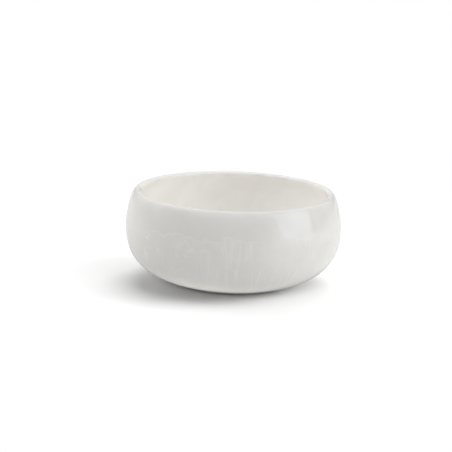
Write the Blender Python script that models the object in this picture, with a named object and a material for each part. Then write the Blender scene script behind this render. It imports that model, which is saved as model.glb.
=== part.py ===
"""Shaving bowl: one piece of glazed porcelain, turned about its upright axis.

The bowl is a low, full-bellied dish. Its outside rises from a small foot ring, swells to the belly, and
leans in over a rounded lip, so the mouth is narrower than the belly. The inside follows the outside at the
thickness of the wall, then flattens into the floor on which the lather is worked up. Under the floor the
foot ring stands round a shallow recess, and its flat underside is the only face that touches the table.

Sizes are in metres, +Z is up, and the origin is the centre of the foot ring's underside.
"""

import math

import bpy
from mathutils import Vector

MM = 0.001

# Outside
BOWL_HEIGHT = 51.0 * MM
BELLY_RADIUS = 60.0 * MM
BELLY_HEIGHT = 31.1 * MM
MOUTH_RADIUS = 52.6 * MM

# Wall and lip
WALL_THICKNESS = 3.3 * MM
LIP_THICKNESS = 2.9 * MM
LIP_LEAN = math.radians(54.0)

# Floor and foot ring
FLOOR_THICKNESS = 3.8 * MM
FOOT_RADIUS = 33.0 * MM
FOOT_WIDTH = 4.0 * MM
FOOT_HEIGHT = 0.9 * MM
FOOT_EDGE_RADIUS = 0.5 * MM
FOOT_COVE_RADIUS = 0.4 * MM
HEEL_SLOPE = math.radians(14.7)
RECESS_DEPTH = 1.6 * MM
RECESS_COVE_RADIUS = 1.1 * MM

# How full each curve is: the length of its handle as a share of the curve's own rise or reach.
BELLY_FULLNESS_BELOW = 0.66
BELLY_FULLNESS_ABOVE = 0.20
HEEL_FULLNESS = 0.56
SHOULDER_FULLNESS = 0.21
FLOOR_FULLNESS_HEEL = 0.17
FLOOR_FULLNESS_CENTRE = 0.60
# Where on the outside's lower curve, counted from the foot, the inside leaves it to become the floor.
FLOOR_STARTS_AT = 0.46

# Facets
SEGMENTS_AROUND = 80
LOWER_CURVE_STEPS = 14
UPPER_CURVE_STEPS = 9
LIP_STEPS_INSIDE = 6
LIP_STEPS_OUTSIDE = 2
FLOOR_STEPS = 9
CORNER_STEPS = 3

GLAZE_COLOUR = (0.80, 0.79, 0.76, 1.0)
GLAZE_ROUGHNESS = 0.12


def clear_scene():
    for obj in list(bpy.data.objects):
        bpy.data.objects.remove(obj, do_unlink=True)


def direction(angle):
    """A unit vector in the profile's plane, at this angle from the radius, upwards."""
    return Vector((math.cos(angle), math.sin(angle)))


def bezier(handles, t):
    """The point and the unit tangent of a cubic curve at t."""
    a, b, c, d = handles
    s = 1.0 - t
    point = a * s**3 + b * (3 * s * s * t) + c * (3 * s * t * t) + d * t**3
    tangent = (b - a) * (s * s) + (c - b) * (2 * s * t) + (d - c) * (t * t)
    return point, tangent.normalized()


def arc(centre, radius, start, end, steps):
    """Points round a circle from one angle to the other, both ends included."""
    return [
        centre + direction(start + (end - start) * i / steps) * radius
        for i in range(steps + 1)
    ]


def lip_centre():
    """The middle of the rounded lip: the mouth is clear inside it, and its crest is the bowl's height."""
    radius = LIP_THICKNESS / 2
    return Vector((MOUTH_RADIUS + radius, BOWL_HEIGHT - radius))


def upper_curve():
    """From the belly, where the wall stands upright, to the lip, where it leans in."""
    belly = Vector((BELLY_RADIUS, BELLY_HEIGHT))
    lip = lip_centre() + direction(LIP_LEAN) * (LIP_THICKNESS / 2)
    rise = lip.y - belly.y
    along_lip = direction(LIP_LEAN + math.pi / 2)
    return (
        belly,
        belly + Vector((0.0, rise * BELLY_FULLNESS_ABOVE)),
        lip - along_lip * (rise * SHOULDER_FULLNESS),
        lip,
    )


def lower_curve():
    """From the top of the foot ring, nearly level, out and up to the belly."""
    heel = Vector((FOOT_RADIUS + FOOT_COVE_RADIUS, FOOT_HEIGHT))
    belly = Vector((BELLY_RADIUS, BELLY_HEIGHT))
    reach = belly - heel
    return (
        heel,
        heel + direction(HEEL_SLOPE) * (reach.x * HEEL_FULLNESS),
        belly - Vector((0.0, reach.y * BELLY_FULLNESS_BELOW)),
        belly,
    )


def inward(point, tangent, thickness):
    """The point on the other side of the wall. The tangent climbs the outside, so its left is inwards."""
    return point + Vector((-tangent.y, tangent.x)) * thickness


def inside_wall():
    """The inside from where the floor ends up to the lip, at the wall's thickness from the outside."""
    points = []
    lower, upper = lower_curve(), upper_curve()
    for i in range(LOWER_CURVE_STEPS):
        t = FLOOR_STARTS_AT + (1.0 - FLOOR_STARTS_AT) * i / LOWER_CURVE_STEPS
        points.append(inward(*bezier(lower, t), WALL_THICKNESS))
    for i in range(UPPER_CURVE_STEPS):
        t = i / UPPER_CURVE_STEPS
        thickness = WALL_THICKNESS + (LIP_THICKNESS - WALL_THICKNESS) * t
        points.append(inward(*bezier(upper, t), thickness))
    return points


def inside_floor():
    """From the axis, level, out to the foot of the inside wall, which it meets at the wall's own slope."""
    centre = Vector((0.0, RECESS_DEPTH + FLOOR_THICKNESS))
    outside, tangent = bezier(lower_curve(), FLOOR_STARTS_AT)
    wall_foot = inward(outside, tangent, WALL_THICKNESS)
    reach = wall_foot.x
    floor = (
        centre,
        centre + Vector((reach * FLOOR_FULLNESS_CENTRE, 0.0)),
        wall_foot - tangent * (reach * FLOOR_FULLNESS_HEEL),
        wall_foot,
    )
    return [bezier(floor, i / FLOOR_STEPS)[0] for i in range(FLOOR_STEPS)]


def rounded_lip():
    """Over the lip from the inside, by its crest, to the outside."""
    radius = LIP_THICKNESS / 2
    up = arc(lip_centre(), radius, math.pi + LIP_LEAN, math.pi / 2, LIP_STEPS_INSIDE)
    down = arc(lip_centre(), radius, math.pi / 2, LIP_LEAN, LIP_STEPS_OUTSIDE)
    return up + down


def outside_wall():
    """Down the outside from just below the lip to the foot ring."""
    upper = [
        bezier(upper_curve(), 1.0 - i / UPPER_CURVE_STEPS)[0]
        for i in range(1, UPPER_CURVE_STEPS + 1)
    ]
    lower = [
        bezier(lower_curve(), 1.0 - i / LOWER_CURVE_STEPS)[0]
        for i in range(1, LOWER_CURVE_STEPS)
    ]
    return upper + lower


def foot_ring():
    """Round the foot ring: the cove under the heel, the flat that stands on the table, and its two edges."""
    inner_radius = FOOT_RADIUS - FOOT_WIDTH
    cove = arc(
        Vector((FOOT_RADIUS + FOOT_COVE_RADIUS, FOOT_HEIGHT - FOOT_COVE_RADIUS)),
        FOOT_COVE_RADIUS,
        math.pi / 2,
        math.pi,
        CORNER_STEPS,
    )
    outer_edge = arc(
        Vector((FOOT_RADIUS - FOOT_EDGE_RADIUS, FOOT_EDGE_RADIUS)),
        FOOT_EDGE_RADIUS,
        0.0,
        -math.pi / 2,
        CORNER_STEPS,
    )
    inner_edge = arc(
        Vector((inner_radius + FOOT_EDGE_RADIUS, FOOT_EDGE_RADIUS)),
        FOOT_EDGE_RADIUS,
        -math.pi / 2,
        -math.pi,
        CORNER_STEPS,
    )
    return cove + outer_edge + inner_edge


def recess():
    """From the foot ring's inner edge over the recess to the axis."""
    inner_radius = FOOT_RADIUS - FOOT_WIDTH
    cove = arc(
        Vector((inner_radius - RECESS_COVE_RADIUS, RECESS_DEPTH - RECESS_COVE_RADIUS)),
        RECESS_COVE_RADIUS,
        0.0,
        math.pi / 2,
        CORNER_STEPS,
    )
    return cove + [Vector((0.0, RECESS_DEPTH))]


def profile():
    """The bowl's cut face as one line from the axis, over the lip and under the foot, back to the axis."""
    points = inside_floor() + inside_wall() + rounded_lip() + outside_wall() + foot_ring() + recess()
    kept = points[:1]
    for point in points[1:]:
        if (point - kept[-1]).length > 0.02 * MM:
            kept.append(point)
    return kept


def glazed_porcelain():
    material = bpy.data.materials.new("glazed_porcelain")
    material.use_nodes = True
    shader = material.node_tree.nodes["Principled BSDF"]
    shader.inputs["Base Color"].default_value = GLAZE_COLOUR
    shader.inputs["Roughness"].default_value = GLAZE_ROUGHNESS
    shader.inputs["Metallic"].default_value = 0.0
    shader.inputs["Coat Weight"].default_value = 1.0
    shader.inputs["Coat Roughness"].default_value = 0.04
    return material


def make_bowl():
    """Turns the profile about the axis into the bowl."""
    points = [(p.x, 0.0, p.y) for p in profile()]
    edges = [(i, i + 1) for i in range(len(points) - 1)]
    mesh = bpy.data.meshes.new("bowl")
    mesh.from_pydata(points, edges, [])
    mesh.materials.append(glazed_porcelain())
    bowl = bpy.data.objects.new("bowl", mesh)
    bpy.context.scene.collection.objects.link(bowl)

    turn = bowl.modifiers.new("turn", "SCREW")
    turn.axis = "Z"
    turn.angle = math.tau
    turn.steps = turn.render_steps = SEGMENTS_AROUND
    turn.use_merge_vertices = True
    turn.merge_threshold = 0.01 * MM
    turn.use_smooth_shade = True
    return bowl


clear_scene()
make_bowl()
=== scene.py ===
# Studio view of a glazed porcelain shaving bowl on a plain white sweep.
import math

import bpy
from mathutils import Matrix, Vector


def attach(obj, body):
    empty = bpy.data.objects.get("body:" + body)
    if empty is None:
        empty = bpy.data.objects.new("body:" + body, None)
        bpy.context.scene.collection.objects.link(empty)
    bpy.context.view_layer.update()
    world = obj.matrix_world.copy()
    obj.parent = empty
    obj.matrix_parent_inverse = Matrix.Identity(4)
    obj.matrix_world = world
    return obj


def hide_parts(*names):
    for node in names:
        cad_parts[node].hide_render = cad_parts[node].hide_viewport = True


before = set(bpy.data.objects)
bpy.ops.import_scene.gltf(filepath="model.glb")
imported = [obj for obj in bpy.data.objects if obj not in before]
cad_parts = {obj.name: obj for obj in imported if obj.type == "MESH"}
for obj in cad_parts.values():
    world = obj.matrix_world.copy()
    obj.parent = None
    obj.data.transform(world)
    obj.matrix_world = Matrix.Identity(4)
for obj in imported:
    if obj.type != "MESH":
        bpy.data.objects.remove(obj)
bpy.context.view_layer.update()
print("frame loaded")

mm = 0.001


# lengths in mm, angles in degrees
bowl = {
    "height": 51.0,
    "bellyRadius": 60.0,
    "bellyHeight": 31.1,
    "mouthRadius": 52.6,
    "wall": 3.3,
    "lip": 2.9,
    "lipLean": 54.0,
    "lipEnd": 0.45,
    "floor": 3.8,
    "footRadius": 33.0,
    "footWidth": 4.0,
    "footHeight": 0.9,
    "footEdge": 0.5,
    "footCove": 0.4,
    "heelSlope": 14.7,
    "recess": 1.6,
    "recessCove": 1.1,
    "recessRings": (0, 7, 16, 24),
    "fullBelow": 0.66,  # how full each curve is: the reach of its handles, as a share of its own size
    "fullAbove": 0.20,
    "fullHeel": 0.56,
    "fullShoulder": 0.21,
    "fullFloorHeel": 0.17,
    "fullFloorCentre": 0.60,
    "floorStart": 0.46,  # where the inside leaves the line of the outside for the dished floor
    "coveSteps": 3,
    "edgeSteps": 4,
    "recessSteps": 5,
    "lowerSteps": 20,
    "upperSteps": 13,
    "lipSteps": 9,
    "underLip": 4,  # steps of the upper curve that the glaze under the lip takes up
    "heelSteps": 12,
    "dishSteps": 11,
    "closest": 0.03,
    "turns": 144,
    "waveWidth": 26.0,  # the glaze lies in very low, wide waves
    "waveDepth": 0.10,
    "waveFrom": 2.0,  # the foot stays flat
    "waveFull": 6.0,
}


def along(angle):
    return Vector((math.cos(angle), math.sin(angle)))


def curvePoint(handles, t):
    a, b, c, d = handles
    s = 1 - t
    point = a * s**3 + b * (3 * s * s * t) + c * (3 * s * t * t) + d * t**3
    way = (b - a) * s * s + (c - b) * 2 * s * t + (d - c) * t * t
    return point, way.normalized()


def insidePoint(handles, t, wall):
    point, way = curvePoint(handles, t)
    return point + Vector((-way.y, way.x)) * wall


def arcPoints(centre, radius, start, end, steps):
    return [Vector(centre) + along(start + (end - start) * i / steps) * radius for i in range(steps + 1)]


def footPath(b):
    # from the middle of the recess to the heel
    quarter = math.pi / 2
    innerFoot = b["footRadius"] - b["footWidth"]
    recessCove, edge, cove = b["recessCove"], b["footEdge"], b["footCove"]
    path = [Vector((radius, b["recess"])) for radius in b["recessRings"]]
    path += arcPoints((innerFoot - recessCove, b["recess"] - recessCove), recessCove, quarter, 0, b["recessSteps"])
    path += arcPoints((innerFoot + edge, edge), edge, math.pi, quarter * 3, b["edgeSteps"])
    path += arcPoints((b["footRadius"] - edge, edge), edge, -quarter, 0, b["edgeSteps"])
    path += arcPoints((b["footRadius"] + cove, b["footHeight"] - cove), cove, math.pi, quarter, b["coveSteps"])
    return path


def bowlProfile(b):
    # round the foot, up the outside, over the lip and down the inside to the middle of the floor
    quarter = math.pi / 2
    lean = math.radians(b["lipLean"])
    lipRadius = b["lip"] / 2
    lipMiddle = Vector((b["mouthRadius"] + lipRadius, b["height"] - lipRadius))
    belly = Vector((b["bellyRadius"], b["bellyHeight"]))
    lipShadeSide = lipMiddle + along(lean) * lipRadius
    rise = lipShadeSide.y - belly.y
    upper = (
        belly,
        belly + Vector((0, rise * b["fullAbove"])),
        lipShadeSide - along(lean + quarter) * rise * b["fullShoulder"],
        lipShadeSide,
    )
    heel = Vector((b["footRadius"] + b["footCove"], b["footHeight"]))
    reach = belly - heel
    lower = (
        heel,
        heel + along(math.radians(b["heelSlope"])) * reach.x * b["fullHeel"],
        belly - Vector((0, reach.y * b["fullBelow"])),
        belly,
    )
    wallFoot = insidePoint(lower, b["floorStart"], b["wall"])
    middle = Vector((0, b["recess"] + b["floor"]))
    dish = (
        middle,
        middle + Vector((wallFoot.x * b["fullFloorCentre"], 0)),
        wallFoot - curvePoint(lower, b["floorStart"])[1] * wallFoot.x * b["fullFloorHeel"],
        wallFoot,
    )

    path = footPath(b)
    path += [curvePoint(lower, i / b["lowerSteps"])[0] for i in range(1, b["lowerSteps"] + 1)]
    path += [curvePoint(upper, i / b["upperSteps"])[0] for i in range(1, b["upperSteps"])]
    # the glaze fills the corner under the lip, so the lip's arc and the inside stop short of it
    path += arcPoints(lipMiddle, lipRadius, lean, math.pi + lean * b["lipEnd"], b["lipSteps"])
    for i in range(b["underLip"], b["upperSteps"] + 1):
        t = 1 - i / b["upperSteps"]
        path.append(insidePoint(upper, t, b["wall"] + (b["lip"] - b["wall"]) * t))
    for i in range(1, b["heelSteps"] + 1):
        path.append(insidePoint(lower, 1 - (1 - b["floorStart"]) * i / b["heelSteps"], b["wall"]))
    path += [curvePoint(dish, 1 - i / b["dishSteps"])[0] for i in range(1, b["dishSteps"] + 1)]
    kept = path[:1]
    for point in path[1:]:
        if (point - kept[-1]).length > b["closest"]:
            kept.append(point)
    return kept


def makeBowl():
    bpy.ops.object.select_all(action="DESELECT")
    path = bowlProfile(bowl)
    bpy.ops.mesh.primitive_plane_add(size=mm, location=(0, 0, path[0].y * mm))
    piece = bpy.context.object
    piece.name = piece.data.name = "porcelainBowl"
    bpy.ops.object.transform_apply(location=True, rotation=True, scale=True)
    bpy.ops.object.mode_set(mode="EDIT")
    bpy.ops.mesh.select_all(action="SELECT")
    bpy.ops.mesh.merge(type="CENTER")  # one vertex on the axis, then the cut line is drawn from it
    bpy.ops.mesh.select_all(action="SELECT")
    for here, there in zip(path, path[1:]):
        step = (there - here) * mm
        bpy.ops.mesh.extrude_region_move(TRANSFORM_OT_translate={"value": (step.x, 0, step.y)})
    bpy.ops.mesh.select_all(action="SELECT")
    bpy.ops.mesh.spin(steps=bowl["turns"], angle=math.tau, center=(0, 0, 0), axis=(0, 0, 1))
    bpy.ops.mesh.select_all(action="SELECT")
    bpy.ops.mesh.remove_doubles(threshold=0.005 * mm)
    bpy.ops.mesh.normals_make_consistent(inside=False)
    bpy.ops.object.mode_set(mode="OBJECT")
    smooth = piece.modifiers.new("smooth", "SUBSURF")
    smooth.levels = smooth.render_levels = 1
    bpy.ops.object.modifier_apply(modifier=smooth.name)
    rippleGlaze(piece)
    bpy.ops.object.shade_smooth()
    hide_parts("bowl")
    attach(piece, "root")
    return piece


def rippleGlaze(piece):
    wavy = piece.vertex_groups.new(name="wavy")
    for vertex in piece.data.vertices:
        share = (vertex.co.z / mm - bowl["waveFrom"]) / (bowl["waveFull"] - bowl["waveFrom"])
        wavy.add([vertex.index], min(1, max(0, share)), "REPLACE")
    waves = bpy.data.textures.new("glazeWaves", "CLOUDS")
    waves.noise_scale = bowl["waveWidth"] * mm
    ripple = piece.modifiers.new("ripple", "DISPLACE")
    ripple.texture = waves
    ripple.texture_coords = "LOCAL"
    ripple.vertex_group = wavy.name
    ripple.strength = bowl["waveDepth"] * mm
    ripple.mid_level = 1  # inwards only, so the size stays
    bpy.ops.object.modifier_apply(modifier=ripple.name)
    piece.vertex_groups.clear()


def addNode(tree, kind, x, y, **values):
    made = tree.nodes.new(kind)
    made.location = (x, y)
    for name, value in values.items():
        setattr(made, name, value)
    return made


def feed(tree, socket, value):
    # value is a socket to join, or a number, vector or colour to set
    if isinstance(value, bpy.types.NodeSocket):
        tree.links.new(value, socket)
    else:
        socket.default_value = value


def mathNode(tree, x, y, kind, *values):
    made = addNode(tree, "ShaderNodeMath", x, y, operation=kind)
    for socket, value in zip(made.inputs, values):
        feed(tree, socket, value)
    return made.outputs[0]


def vectorNode(tree, x, y, kind, *values, scale=None):
    made = addNode(tree, "ShaderNodeVectorMath", x, y, operation=kind)
    for socket, value in zip(made.inputs, values):
        feed(tree, socket, value)
    if kind == "SCALE":
        made.inputs["Scale"].default_value = scale
    return made.outputs["Value" if kind in ("DOT_PRODUCT", "LENGTH") else "Vector"]


def noiseNode(tree, x, y, place, scale, detail=2, distortion=0, shift=None):
    if shift:
        place = vectorNode(tree, x - 150, y - 50, "ADD", place, shift)
    made = addNode(tree, "ShaderNodeTexNoise", x, y)
    for name, value in (("Vector", place), ("Scale", scale), ("Detail", detail), ("Distortion", distortion)):
        feed(tree, made.inputs[name], value)
    return made.outputs["Fac"]


def rangeNode(tree, x, y, value, low, high, to=(0, 1)):
    made = addNode(tree, "ShaderNodeMapRange", x, y, interpolation_type="SMOOTHSTEP")
    for name, number in (("Value", value), ("From Min", low), ("From Max", high), ("To Min", to[0]), ("To Max", to[1])):
        feed(tree, made.inputs[name], number)
    return made.outputs["Result"]


def mixNode(tree, x, y, share, first, second, kind="RGBA", blend="MIX"):
    made = addNode(tree, "ShaderNodeMix", x, y, data_type=kind, blend_type=blend)
    start, out = {"FLOAT": (2, 0), "RGBA": (6, 2)}[kind]
    for place, value in ((0, share), (start, first), (start + 1, second)):
        feed(tree, made.inputs[place], value)
    return made.outputs[out]


# lengths in metres from here on, as the shader sees them
glaze = {
    "white": (0.918, 0.909, 0.874, 1),
    "shade": (0.880, 0.870, 0.834, 1),
    "cloud": {"scale": 42, "detail": 6, "distortion": 0.8},  # patches about 24 mm across
    "cloudFade": (0.35, 0.65),
    "plainTint": (1, 1, 1, 1),
    "insideTint": (1.006, 1.0, 1.004, 1),
    "outwardFade": (-0.1, 0.1),
    "lipPaintedShade": (0.900, 0.905, 0.925, 1),  # painted shade: the inner edge of the lip is darkened and cooled on its far side only
    "lipShadeFrom": (0.0491, 0.0500),
    "lipShadeSide": (0, 1, 0),
    "lipShadeFade": (0.1, 0.6),
    "run": (0.960, 0.952, 0.922, 1),
    "straight": {"scale": 300, "detail": 1, "distortion": 0.25},
    "straightWidth": 0.040,
    "straightStretch": 0.08,
    "curled": {"scale": 115, "detail": 3, "distortion": 0.6},
    "curledWidth": 0.022,
    "patch": {"scale": 22, "detail": 1, "shift": (1.80, 1.29, 0.48)},
    "patchFade": (0.46, 0.54),
    "faint": {"scale": 34, "detail": 1, "shift": (2.40, 0.58, 0.93)},
    "faintFade": (0.35, 0.55),
    "faintest": 0.15,
    "runTop": 0.0365,
    "runFade": 0.0012,
    "runRelief": 2.0,
    "scallop": {"scale": 60, "detail": 3, "distortion": 1.0},
    "scallopDepth": 0.016,
    "fringeWidth": 0.0005,
    # the unglazed foot's clay colour, darkened with painted shade so the foot ring reads as a dark line where it meets
    # the floor
    "bareAndShade": (0.540, 0.515, 0.470, 1),
    "bareShade": (0.5022, 0.47895, 0.4371, 1),
    "bareRoughness": 0.80,
    "bareFade": (0.00040, 0.00048),  # the foot is wiped clean of glaze, up to a ragged line just above here
    "bareRagged": 0.00030,
    "ragged": {"scale": 160, "detail": 3},
    "grit": {"scale": 2600, "detail": 2},
    "gloss": (0.040, 0.060),
    "glossPatch": {"scale": 70, "detail": 2},
    "glossFade": (0.3, 0.7),
    "peel": {"scale": 420, "detail": 1},
    "peelDepth": 0.000009,
    "bend": 1.5,  # index of refraction
}


def wallPoint(tree, place):
    # a point carried out to one radius, so that a pattern runs straight down the wall and has no seam
    way = vectorNode(tree, -1800, 0, "NORMALIZE", vectorNode(tree, -2000, 0, "MULTIPLY", place, (1, 1, 0)))
    rim = vectorNode(tree, -1600, 0, "SCALE", way, scale=bowl["bellyRadius"] * mm)
    drop = vectorNode(tree, -1800, -150, "MULTIPLY", place, (0, 0, glaze["straightStretch"]))
    return vectorNode(tree, -1400, 0, "ADD", rim, drop), way


def glazeTone(tree, place, height, way, outward):
    # the inside is a little warmer, and the inner edge of its lip carries painted shade on the far side
    cloud = noiseNode(tree, -1150, 500, place, **glaze["cloud"])
    cloud = rangeNode(tree, -900, 500, cloud, *glaze["cloudFade"])
    tone = mixNode(tree, -600, 500, cloud, glaze["white"], glaze["shade"])
    # painted shade on the lip's inner edge, masked to the far side of the bowl
    side = vectorNode(tree, -1400, 1000, "DOT_PRODUCT", way, glaze["lipShadeSide"])
    side = rangeNode(tree, -1150, 1000, side, *glaze["lipShadeFade"])
    lip = rangeNode(tree, -1150, 850, height, *glaze["lipShadeFrom"])
    lip = mathNode(tree, -1000, 850, "MULTIPLY", lip, side)
    innerTintAndShade = mixNode(tree, -900, 850, lip, glaze["insideTint"], glaze["lipPaintedShade"])
    tint = mixNode(tree, -600, 700, outward, innerTintAndShade, glaze["plainTint"])
    return mixNode(tree, -500, 500, 1, tone, tint, blend="MULTIPLY")


def runLines(tree, y, points, name):
    # thin lines along the level curves of a noise
    field = noiseNode(tree, -1400, y, points, **glaze[name])
    off = mathNode(tree, -1000, y, "ABSOLUTE", mathNode(tree, -1150, y, "SUBTRACT", field, 0.5))
    return rangeNode(tree, -850, y, off, 0, glaze[name + "Width"], to=(1, 0))


def glazeRuns(tree, place, wall, height, outward):
    # pale lines where the glaze ran: straight down in some patches, curled like wood grain in the others
    straight = runLines(tree, 250, wall, "straight")
    curled = runLines(tree, 50, place, "curled")
    patch = noiseNode(tree, -1150, 50, place, **glaze["patch"])
    patch = rangeNode(tree, -900, 50, patch, *glaze["patchFade"])
    lines = mixNode(tree, -700, 150, patch, curled, straight, kind="FLOAT")
    faint = noiseNode(tree, -1150, -50, place, **glaze["faint"])
    faint = rangeNode(tree, -700, 0, faint, *glaze["faintFade"], to=(glaze["faintest"], 1))
    # they end in a scalloped fringe, which has an outline of its own
    scallop = noiseNode(tree, -1150, -250, place, **glaze["scallop"])
    scallop = mathNode(tree, -900, -250, "MULTIPLY", scallop, glaze["scallopDepth"])
    above = mathNode(tree, -900, -300, "SUBTRACT", height, scallop)
    above = mathNode(tree, -750, -250, "SUBTRACT", above, glaze["runTop"] - glaze["scallopDepth"] / 2)
    below = rangeNode(tree, -600, -250, above, -glaze["runFade"], 0, to=(1, 0))
    outline = mathNode(tree, -700, -350, "ABSOLUTE", above)
    outline = rangeNode(tree, -600, -350, outline, 0, glaze["fringeWidth"], to=(1, 0))
    runs = mathNode(tree, -500, 200, "MAXIMUM", mathNode(tree, -550, 100, "MULTIPLY", lines, below), outline)
    return mathNode(tree, -450, 150, "MULTIPLY", runs, mathNode(tree, -450, 50, "MULTIPLY", faint, outward))


def makeGlaze():
    material = bpy.data.materials.new("porcelainGlaze")
    material.use_nodes = True
    tree = material.node_tree
    place = addNode(tree, "ShaderNodeTexCoord", -2200, 0).outputs["Object"]
    parts = addNode(tree, "ShaderNodeSeparateXYZ", -2000, -300)
    feed(tree, parts.inputs[0], place)
    height = parts.outputs["Z"]
    wall, way = wallPoint(tree, place)
    # the faces of the inside look towards the axis
    normal = addNode(tree, "ShaderNodeNewGeometry", -1600, -1000).outputs["True Normal"]
    facing = vectorNode(tree, -1400, -1000, "DOT_PRODUCT", way, normal)
    outward = rangeNode(tree, -1150, -1000, facing, *glaze["outwardFade"])
    runs = glazeRuns(tree, place, wall, height, outward)
    tone = mixNode(tree, -400, 400, runs, glazeTone(tree, place, height, way, outward), glaze["run"])

    ragged = noiseNode(tree, -1150, -400, wall, **glaze["ragged"])
    line = mathNode(tree, -900, -400, "MULTIPLY", ragged, glaze["bareRagged"])
    overFoot = mathNode(tree, -750, -400, "SUBTRACT", height, line)
    bareAndShade = rangeNode(tree, -600, -400, overFoot, *glaze["bareFade"], to=(1, 0))
    grit = noiseNode(tree, -1150, -600, place, **glaze["grit"])
    # bare clay with painted shade, broken into fine grains
    clayAndShade = mixNode(tree, -400, 100, grit, glaze["bareAndShade"], glaze["bareShade"])
    tone = mixNode(tree, -200, 300, bareAndShade, tone, clayAndShade)

    glossPatch = noiseNode(tree, -1150, -150, place, **glaze["glossPatch"])
    gloss = rangeNode(tree, -600, -150, glossPatch, *glaze["glossFade"], to=glaze["gloss"])
    rough = mixNode(tree, -200, -100, bareAndShade, gloss, glaze["bareRoughness"], kind="FLOAT")

    peel = noiseNode(tree, -1150, -800, place, **glaze["peel"])
    relief = mathNode(tree, -600, -700, "ADD", peel, mathNode(tree, -750, -700, "MULTIPLY", grit, bareAndShade))
    relief = mathNode(tree, -450, -700, "MULTIPLY_ADD", runs, glaze["runRelief"], relief)
    bump = addNode(tree, "ShaderNodeBump", -200, -500)
    feed(tree, bump.inputs["Distance"], glaze["peelDepth"])
    feed(tree, bump.inputs["Height"], relief)
    finish = {"Base Color": tone, "Roughness": rough, "IOR": glaze["bend"], "Normal": bump.outputs["Normal"]}
    for name, value in finish.items():
        feed(tree, tree.nodes["Principled BSDF"].inputs[name], value)
    return material


studio = {
    "floorSize": 8.0,
    "floorWhite": 0.885,
    "floorBounce": 0.58,  # what the bowl gets back from it
    "whiteFrom": 0.16,  # past this distance from the bowl the floor fades to plain white
    "whiteAt": 0.34,
    "whiteMirrored": 0.78,  # how much of that white the glaze gets back
    "glow": 1.03,  # lights the underside of the bowl from a ring of the floor below it
    "glowColour": (1.0, 0.985, 0.940, 1),
    "glowMiddle": (-0.010, 0, 0),
    "glowOutside": (0.043, 0.060),
    "glowInside": (0.037, 0.047),
    "glowDepth": 1.5,  # only for the first step from the bowl to the floor, so it doesn't wash out the shadow
    "pool": 0.9,  # the bright floor under the softbox, which the glaze mirrors
    "poolMiddle": (0.52, -0.20, 0),
    "poolSize": (0.18, 0.47),
    # what the glaze mirrors: a dim room, brighter on the right and a little on the left behind
    "room": 0.22,
    "roomColour": (0.96, 0.98, 1.05, 1),
    "walls": (
        {"towards": (0.921, -0.391, 0), "from": 0.62, "to": 1.00, "light": 0.72},
        {"towards": (-0.927, 0.375, 0), "from": 0.35, "to": 1.00, "light": 0.14},
    ),
    "seenWhite": (1, 1, 1, 1),  # what the camera sees past the floor
}


def distanceNode(tree, y, place, middle=(0, 0, 0)):
    return vectorNode(tree, -1100, y, "LENGTH", vectorNode(tree, -1300, y, "SUBTRACT", place, middle))


def grey(level):
    return (level, level, level, 1)


def sweepPaper(tree, seen, mirrored, far):
    # pale paper near the bowl, plain white farther off
    paper = addNode(tree, "ShaderNodeBsdfDiffuse", -600, 0)
    shade = mixNode(tree, -850, 100, seen, grey(studio["floorBounce"]), grey(studio["floorWhite"]))
    feed(tree, paper.inputs["Color"], shade)
    plain = addNode(tree, "ShaderNodeEmission", -600, -150)
    pale = mixNode(tree, -850, -50, seen, grey(studio["whiteMirrored"]), studio["seenWhite"])
    feed(tree, plain.inputs["Color"], pale)
    fade = rangeNode(tree, -850, -150, far, studio["whiteFrom"], studio["whiteAt"])
    fade = mathNode(tree, -600, 250, "MULTIPLY", mathNode(tree, -850, 400, "MAXIMUM", seen, mirrored), fade)
    mix = addNode(tree, "ShaderNodeMixShader", -350, 0)
    for socket, value in zip(mix.inputs, (fade, paper.outputs[0], plain.outputs[0])):
        feed(tree, socket, value)
    return mix.outputs[0]


def sweepGlow(tree, light, place, far):
    below = distanceNode(tree, -400, place, studio["glowMiddle"])
    ring = rangeNode(tree, -850, -400, below, *studio["glowOutside"], to=(studio["glow"], 0))
    ring = mathNode(tree, -600, -700, "MULTIPLY", ring, rangeNode(tree, -850, -800, far, *studio["glowInside"]))
    first = mathNode(tree, -850, -600, "LESS_THAN", light.outputs["Diffuse Depth"], studio["glowDepth"])
    lit = mathNode(tree, -600, -500, "MULTIPLY", light.outputs["Is Diffuse Ray"], first)
    beside = distanceNode(tree, -900, place, studio["poolMiddle"])
    pool = rangeNode(tree, -850, -900, beside, *studio["poolSize"], to=(studio["pool"], 0))
    pool = mathNode(tree, -600, -900, "MULTIPLY", pool, light.outputs["Is Glossy Ray"])
    glow = addNode(tree, "ShaderNodeEmission", -350, -250)
    feed(tree, glow.inputs["Color"], studio["glowColour"])
    feed(tree, glow.inputs["Strength"], mathNode(tree, -450, -400, "MULTIPLY_ADD", lit, ring, pool))
    return glow.outputs[0]


def makeFloor():
    bpy.ops.object.select_all(action="DESELECT")
    bpy.ops.mesh.primitive_plane_add(size=studio["floorSize"], location=(0, 0, 0))
    floor = bpy.context.object
    floor.name = floor.data.name = "whiteSweep"
    material = bpy.data.materials.new("sweepWhite")
    material.use_nodes = True
    tree = material.node_tree
    tree.nodes.remove(tree.nodes["Principled BSDF"])
    place = addNode(tree, "ShaderNodeTexCoord", -1500, 0).outputs["Object"]
    far = distanceNode(tree, 0, place)
    light = addNode(tree, "ShaderNodeLightPath", -1100, 500)
    both = addNode(tree, "ShaderNodeAddShader", -100, 0)
    seen, mirrored = light.outputs["Is Camera Ray"], light.outputs["Is Glossy Ray"]
    feed(tree, both.inputs[0], sweepPaper(tree, seen, mirrored, far))
    feed(tree, both.inputs[1], sweepGlow(tree, light, place, far))
    feed(tree, tree.nodes["Material Output"].inputs["Surface"], both.outputs[0])
    floor.data.materials.append(material)
    return floor


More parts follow.
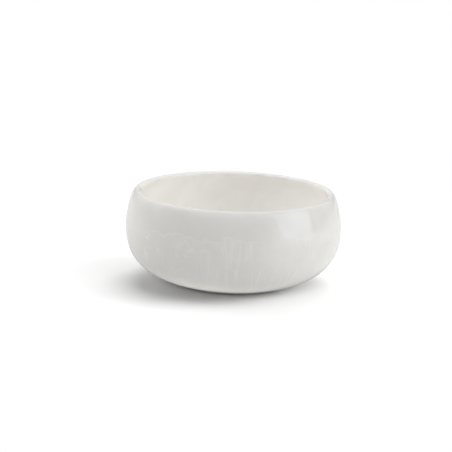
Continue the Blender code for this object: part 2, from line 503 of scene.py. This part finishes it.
def makeWorld():
    world = bpy.data.worlds.new("studio")
    bpy.context.scene.world = world
    world.use_nodes = True
    tree = world.node_tree
    place = addNode(tree, "ShaderNodeTexCoord", -1500, 0).outputs["Generated"]
    light = addNode(tree, "ShaderNodeLightPath", -900, 500)
    seen, mirrored = light.outputs["Is Camera Ray"], light.outputs["Is Glossy Ray"]
    room = studio["room"]
    for row, wall in enumerate(studio["walls"]):
        side = vectorNode(tree, -1300, -200 * row, "DOT_PRODUCT", place, wall["towards"])
        shine = rangeNode(tree, -1100, -200 * row, side, wall["from"], wall["to"], to=(0, wall["light"]))
        room = mathNode(tree, -900, -200 * row, "ADD", shine, room)
    room = mathNode(tree, -600, 0, "MULTIPLY", room, mirrored)
    backdrop = tree.nodes["Background"]
    feed(tree, backdrop.inputs["Strength"], mathNode(tree, -400, 0, "ADD", room, seen))
    colour = mixNode(tree, -400, 200, seen, studio["roomColour"], studio["seenWhite"])
    feed(tree, backdrop.inputs["Color"], colour)


# azimuth is counted from the camera's side towards the right; the bowl and the floor are lit apart, so that
# the shadow keeps its one side while the glaze is lit softly from all round
usualLamp = {"distance": 1.3, "size": (0.9, 0.9), "colour": (1, 1, 1), "mirrored": False}
softbox = {"azimuth": 69, "elevation": 22, "size": (0.68, 0.80)}
lamps = {
    "bowl": {
        "softboxRight": {**softbox, "distance": 0.95, "light": 2.34},
        "softboxSeen": {**softbox, "distance": 0.94, "light": 1.72, "mirrored": True, "colour": (0.90, 1.0, 1.16)},
        "overhead": {"azimuth": 180, "elevation": 88, "light": 2.52},
        "overMouth": {"azimuth": 0, "elevation": 90, "distance": 0.13, "size": (0.09, 0.09), "light": 1.38},
        "left": {"azimuth": -90, "elevation": 45, "light": 1.60},
        "backLeft": {"azimuth": -130, "elevation": 20, "light": 2.16},
        "backRight": {"azimuth": 150, "elevation": 20, "light": 1.90},
        "frontLeft": {"azimuth": -50, "elevation": 20, "light": 1.03},
        "frontRight": {"azimuth": 30, "elevation": 20, "light": 0.50},
    },
    "floor": {
        "floorOverhead": {"azimuth": 180, "elevation": 88, "light": 2.18},
        "floorBack": {"azimuth": 180, "elevation": 45, "light": 3.87},
        "floorBackLeft": {"azimuth": -130, "elevation": 20, "light": 2.19},
        "floorFrontLeft": {"azimuth": -30, "elevation": 20, "distance": 2.6, "size": (1.4, 1.2), "light": 5.08},
        "floorFrontRight": {"azimuth": 45, "elevation": 50, "distance": 2.6, "size": (1.6, 1.6), "light": 1.64},
        "floorRight": {"azimuth": 90, "elevation": 50, "distance": 2.6, "size": (1.6, 1.6), "light": 1.86},
        "floorRightLow": {"azimuth": 90, "elevation": 20, "distance": 2.6, "size": (1.4, 1.2), "light": 11.06},
    },
}


def makeLamp(name, lamp, litOnly):
    side, up = math.radians(lamp["azimuth"]), math.radians(lamp["elevation"])
    toLamp = Vector((math.sin(side) * math.cos(up), -math.cos(side) * math.cos(up), math.sin(up)))
    data = bpy.data.lights.new(name, "AREA")
    data.shape = "RECTANGLE"
    data.size, data.size_y = lamp["size"]
    data.color = lamp["colour"]
    data.energy = lamp["light"] * math.pi * lamp["size"][0] * lamp["size"][1]
    holder = bpy.data.objects.new(name, data)
    holder.location = toLamp * lamp["distance"]
    holder.rotation_euler = toLamp.to_track_quat("Z", "Y").to_euler()
    holder.visible_glossy = lamp["mirrored"]  # only one lamp leaves its shape in the glaze
    holder.visible_diffuse = not lamp["mirrored"]
    holder.visible_camera = False
    holder.light_linking.receiver_collection = litOnly
    bpy.context.scene.collection.objects.link(holder)


def makeLamps(targets):
    for kind, target in targets.items():
        litOnly = bpy.data.collections.new(kind + "Light")
        litOnly.objects.link(target)
        for name, lamp in lamps[kind].items():
            makeLamp(name, {**usualLamp, **lamp}, litOnly)


# distances in metres, the target in mm
shot = {
    "distance": 1.0,
    "elevation": 13.01,
    "roll": 1.85,
    "lens": 143.2,
    "sensor": 36,
    "target": (-4.08, 0, 30.6),
    "nearest": 0.01,
    "farthest": 50,
}


def makeCamera():
    up = math.radians(shot["elevation"])
    away = Vector((0, -math.cos(up), math.sin(up)))
    data = bpy.data.cameras.new("camera")
    data.lens = shot["lens"]
    data.sensor_width = shot["sensor"]
    data.clip_start, data.clip_end = shot["nearest"], shot["farthest"]
    camera = bpy.data.objects.new("camera", data)
    bpy.context.scene.collection.objects.link(camera)
    place = Vector(shot["target"]) * mm + away * shot["distance"]
    tilt = Matrix.Rotation(math.radians(90) - up, 4, "X")
    roll = Matrix.Rotation(math.radians(shot["roll"]), 4, "Z")
    camera.matrix_world = Matrix.Translation(place) @ tilt @ roll
    bpy.context.scene.camera = camera


makeCamera()
print("camera set")
piece = makeBowl()
piece.data.materials.clear()
piece.data.materials.append(makeGlaze())
print("bowl made", len(piece.data.polygons), "faces")
floor = makeFloor()
makeWorld()
makeLamps({"bowl": piece, "floor": floor})
print("studio made")

bpy.context.scene.view_settings.view_transform = "Standard"
